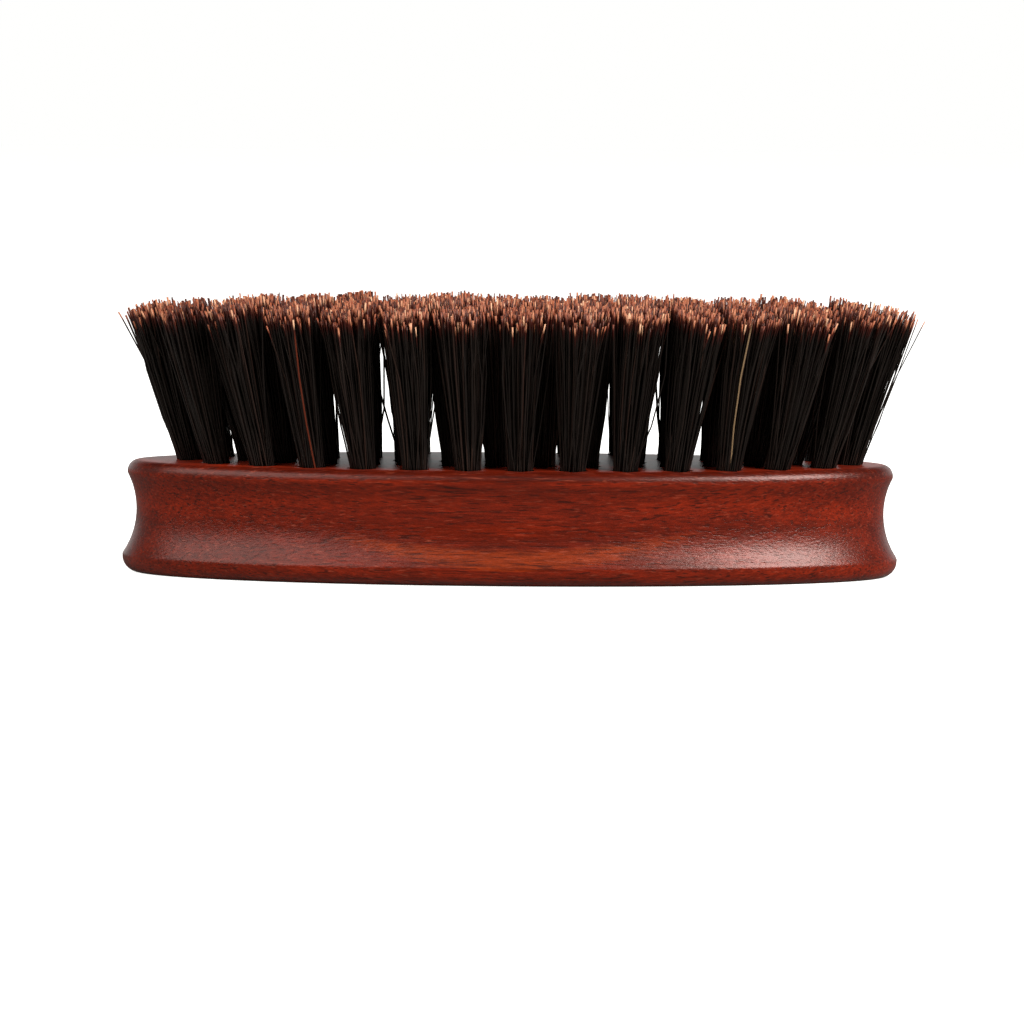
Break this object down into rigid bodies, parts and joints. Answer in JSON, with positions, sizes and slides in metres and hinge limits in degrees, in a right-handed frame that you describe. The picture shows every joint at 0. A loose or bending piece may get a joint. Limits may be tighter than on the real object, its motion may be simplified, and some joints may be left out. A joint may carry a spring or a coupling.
{
  "type": "beard brush",
  "caption": "Palm-held oval beard brush: a coved, lacquered hardwood block with splayed boar-bristle tufts set in drilled holes.",
  "frame": {"origin": "middle of the flat back of the block, the face it rests on with its bristles up", "axes": "+X along the length of the block, +Y across it, +Z from the back towards the bristle tips"},
  "size_m": [0.1168, 0.041, 0.0413],
  "materials": {
    "lacquered_mahogany": "red-brown mahogany stain under a clear gloss lacquer",
    "boar_bristle": "near-black natural hair, satin, with copper-brown split tips"
  },
  "bodies": {
    "root": {"block": "lacquered_mahogany", "outer_tuft_01": "boar_bristle", "outer_tuft_02": "boar_bristle", "outer_tuft_03": "boar_bristle", "outer_tuft_04": "boar_bristle", "outer_tuft_05": "boar_bristle", "outer_tuft_06": "boar_bristle", "outer_tuft_07": "boar_bristle", "outer_tuft_08": "boar_bristle", "outer_tuft_09": "boar_bristle", "outer_tuft_10": "boar_bristle", "outer_tuft_11": "boar_bristle", "outer_tuft_12": "boar_bristle", "outer_tuft_13": "boar_bristle", "outer_tuft_14": "boar_bristle", "outer_tuft_15": "boar_bristle", "outer_tuft_16": "boar_bristle", "outer_tuft_17": "boar_bristle", "outer_tuft_18": "boar_bristle", "outer_tuft_19": "boar_bristle", "outer_tuft_20": "boar_bristle", "outer_tuft_21": "boar_bristle", "outer_tuft_22": "boar_bristle", "outer_tuft_23": "boar_bristle", "outer_tuft_24": "boar_bristle", "outer_tuft_25": "boar_bristle", "outer_tuft_26": "boar_bristle", "outer_tuft_27": "boar_bristle", "outer_tuft_28": "boar_bristle", "middle_tuft_01": "boar_bristle", "middle_tuft_02": "boar_bristle", "middle_tuft_03": "boar_bristle", "middle_tuft_04": "boar_bristle", "middle_tuft_05": "boar_bristle", "middle_tuft_06": "boar_bristle", "middle_tuft_07": "boar_bristle", "middle_tuft_08": "boar_bristle", "middle_tuft_09": "boar_bristle", "middle_tuft_10": "boar_bristle", "middle_tuft_11": "boar_bristle", "middle_tuft_12": "boar_bristle", "middle_tuft_13": "boar_bristle", "middle_tuft_14": "boar_bristle", "middle_tuft_15": "boar_bristle", "middle_tuft_16": "boar_bristle", "middle_tuft_17": "boar_bristle", "middle_tuft_18": "boar_bristle", "middle_tuft_19": "boar_bristle", "middle_tuft_20": "boar_bristle", "middle_tuft_21": "boar_bristle", "middle_tuft_22": "boar_bristle", "middle_tuft_23": "boar_bristle", "middle_tuft_24": "boar_bristle", "middle_tuft_25": "boar_bristle", "middle_tuft_26": "boar_bristle", "centre_tufts_1": "boar_bristle", "centre_tufts_2": "boar_bristle", "centre_tufts_3": "boar_bristle", "centre_tufts_4": "boar_bristle"}
  },
  "joints": []
}
